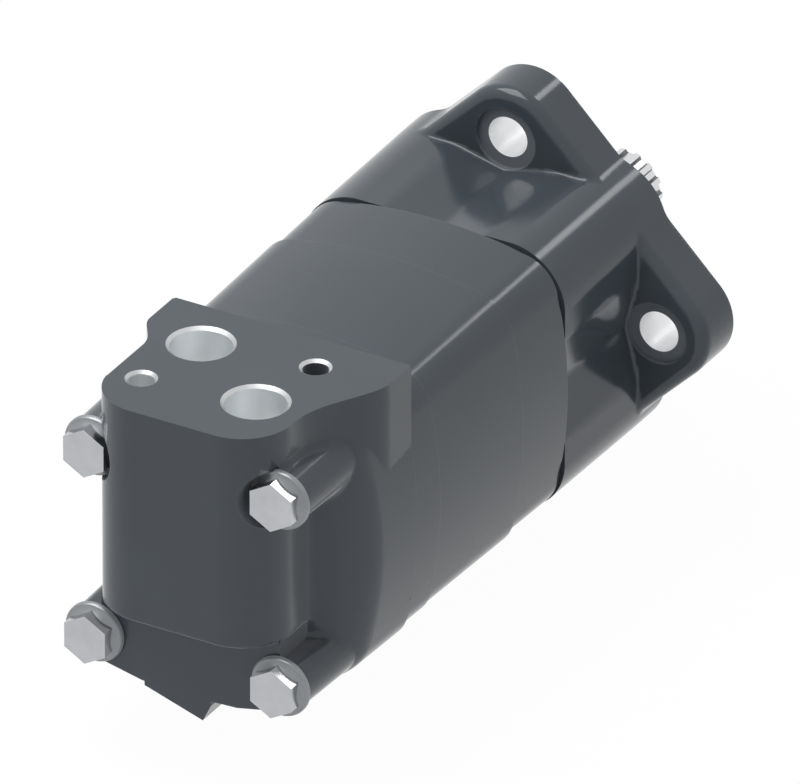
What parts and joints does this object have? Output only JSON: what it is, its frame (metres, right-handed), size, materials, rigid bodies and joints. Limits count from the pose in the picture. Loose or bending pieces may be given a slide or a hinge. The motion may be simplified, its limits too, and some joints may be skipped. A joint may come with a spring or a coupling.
{
  "type": "orbital hydraulic motor",
  "caption": "Disc-valve orbital hydraulic motor with a square lugged mounting flange, splined output shaft, ports on top and tie screws, with its roller gear set and valve inside.",
  "frame": {"origin": "centre of the flange's mounting face, on the shaft axis", "axes": "+Y along the output shaft and out of the motor, +Z towards the port face, +X to the right when looking along +Y from behind"},
  "size_m": [0.1404, 0.2791, 0.1404],
  "materials": {
    "housing_paint": "glossy",
    "zinc_screws": "satin",
    "shaft_steel": "satin",
    "bearing_steel": "polished",
    "hard_steel": "satin",
    "spring_steel": "satin",
    "cage_brass": "satin",
    "seal_rubber": "matte"
  },
  "bodies": {
    "case": {"bearing_housing": "housing_paint", "wear_plate": "housing_paint", "roller_ring": "housing_paint", "valve_plate": "housing_paint", "valve_housing": "housing_paint", "tie_screws": "zinc_screws", "dust_seal": "seal_rubber", "shaft_seal": "seal_rubber", "seal_washer": "hard_steel", "front_bearing_cup": "bearing_steel", "rear_bearing_cup": "bearing_steel", "housing_seal": "seal_rubber", "wear_plate_seal": "seal_rubber", "valve_plate_seal": "seal_rubber", "valve_housing_seal": "seal_rubber", "balance_ring": "cage_brass", "outer_face_seal": "seal_rubber", "inner_face_seal": "seal_rubber", "balance_springs": "spring_steel", "balance_pins": "hard_steel", "case_check_seat": "bearing_steel", "case_check_spring": "spring_steel"},
    "shaft": {"output_shaft": "shaft_steel", "front_bearing_cone": "bearing_steel", "rear_bearing_cone": "bearing_steel", "bearing_nut": "hard_steel", "thrust_washer": "bearing_steel"},
    "front_rolling_set": {"front_bearing_rollers": "bearing_steel", "front_bearing_cage": "cage_brass"},
    "rear_rolling_set": {"rear_bearing_rollers": "bearing_steel", "rear_bearing_cage": "cage_brass"},
    "orbit": {"drive_spacer": "hard_steel"},
    "star": {"star": "hard_steel"},
    "main_drive": {"main_drive": "hard_steel"},
    "valve_drive": {"valve_drive": "hard_steel"},
    "disc_valve": {"disc_valve": "hard_steel"},
    "case_check_ball": {"case_check_ball": "bearing_steel"},
    "roller_1": {"roller_1": "bearing_steel"},
    "roller_2": {"roller_2": "bearing_steel"},
    "roller_3": {"roller_3": "bearing_steel"},
    "roller_4": {"roller_4": "bearing_steel"},
    "roller_5": {"roller_5": "bearing_steel"},
    "roller_6": {"roller_6": "bearing_steel"},
    "roller_7": {"roller_7": "bearing_steel"}
  },
  "joints": [
    {"name": "shaft_spin", "type": "hinge", "parent": "case", "child": "shaft", "pos_m": [0, 0, 0], "axis": [0, 1, 0], "continuous": true},
    {"name": "front_bearing_roll", "type": "hinge", "parent": "case", "child": "front_rolling_set", "pos_m": [0, -0.0225, 0], "axis": [0, 1, 0], "continuous": true},
    {"name": "rear_bearing_roll", "type": "hinge", "parent": "case", "child": "rear_rolling_set", "pos_m": [0, -0.0465, 0], "axis": [0, 1, 0], "continuous": true},
    {"name": "star_orbit", "type": "hinge", "parent": "case", "child": "orbit", "pos_m": [0, -0.1144, 0], "axis": [0, 1, 0], "continuous": true},
    {"name": "star_spin", "type": "hinge", "parent": "orbit", "child": "star", "pos_m": [0.0026, -0.1144, 0], "axis": [0, 1, 0], "continuous": true},
    {"name": "main_drive_spin", "type": "hinge", "parent": "orbit", "child": "main_drive", "pos_m": [0, -0.055, 0], "axis": [-0.0551, 0.9985, 0], "continuous": true},
    {"name": "valve_drive_spin", "type": "hinge", "parent": "orbit", "child": "valve_drive", "pos_m": [0, -0.1606, 0], "axis": [0.0799, 0.9968, 0], "continuous": true},
    {"name": "disc_valve_spin", "type": "hinge", "parent": "case", "child": "disc_valve", "pos_m": [0, -0.1606, 0], "axis": [0, 1, 0], "continuous": true},
    {"name": "roller_1_spin", "type": "hinge", "parent": "case", "child": "roller_1", "pos_m": [0.0305, -0.1144, 0], "axis": [0, 1, 0], "continuous": true},
    {"name": "roller_2_spin", "type": "hinge", "parent": "case", "child": "roller_2", "pos_m": [0.01902, -0.1144, 0.02385], "axis": [0, 1, 0], "continuous": true},
    {"name": "roller_3_spin", "type": "hinge", "parent": "case", "child": "roller_3", "pos_m": [-0.00679, -0.1144, 0.02974], "axis": [0, 1, 0], "continuous": true},
    {"name": "roller_4_spin", "type": "hinge", "parent": "case", "child": "roller_4", "pos_m": [-0.02748, -0.1144, 0.01323], "axis": [0, 1, 0], "continuous": true},
    {"name": "roller_5_spin", "type": "hinge", "parent": "case", "child": "roller_5", "pos_m": [-0.02748, -0.1144, -0.01323], "axis": [0, 1, 0], "continuous": true},
    {"name": "roller_6_spin", "type": "hinge", "parent": "case", "child": "roller_6", "pos_m": [-0.00679, -0.1144, -0.02974], "axis": [0, 1, 0], "continuous": true},
    {"name": "roller_7_spin", "type": "hinge", "parent": "case", "child": "roller_7", "pos_m": [0.01902, -0.1144, -0.02385], "axis": [0, 1, 0], "continuous": true},
    {"name": "case_check_lift", "type": "slide", "parent": "case", "child": "case_check_ball", "axis": [0, 0, -1], "range_m": [0, 0.0012], "stiffness_N_per_m": 150, "springref_m": -0.002, "deforming": ["case_check_spring"]}
  ],
  "couplings": [
    {"joint": "front_bearing_roll", "follows": "shaft_spin", "ratio": 0.42},
    {"joint": "rear_bearing_roll", "follows": "shaft_spin", "ratio": 0.42},
    {"joint": "star_orbit", "follows": "shaft_spin", "ratio": -6},
    {"joint": "star_spin", "follows": "shaft_spin", "ratio": 7},
    {"joint": "main_drive_spin", "follows": "shaft_spin", "ratio": 7},
    {"joint": "valve_drive_spin", "follows": "shaft_spin", "ratio": 7},
    {"joint": "disc_valve_spin", "follows": "shaft_spin", "ratio": 1},
    {"joint": "roller_1_spin", "follows": "shaft_spin", "ratio": -3.8},
    {"joint": "roller_2_spin", "follows": "shaft_spin", "ratio": -3.8},
    {"joint": "roller_3_spin", "follows": "shaft_spin", "ratio": -3.8},
    {"joint": "roller_4_spin", "follows": "shaft_spin", "ratio": -3.8},
    {"joint": "roller_5_spin", "follows": "shaft_spin", "ratio": -3.8},
    {"joint": "roller_6_spin", "follows": "shaft_spin", "ratio": -3.8},
    {"joint": "roller_7_spin", "follows": "shaft_spin", "ratio": -3.8}
  ]
}
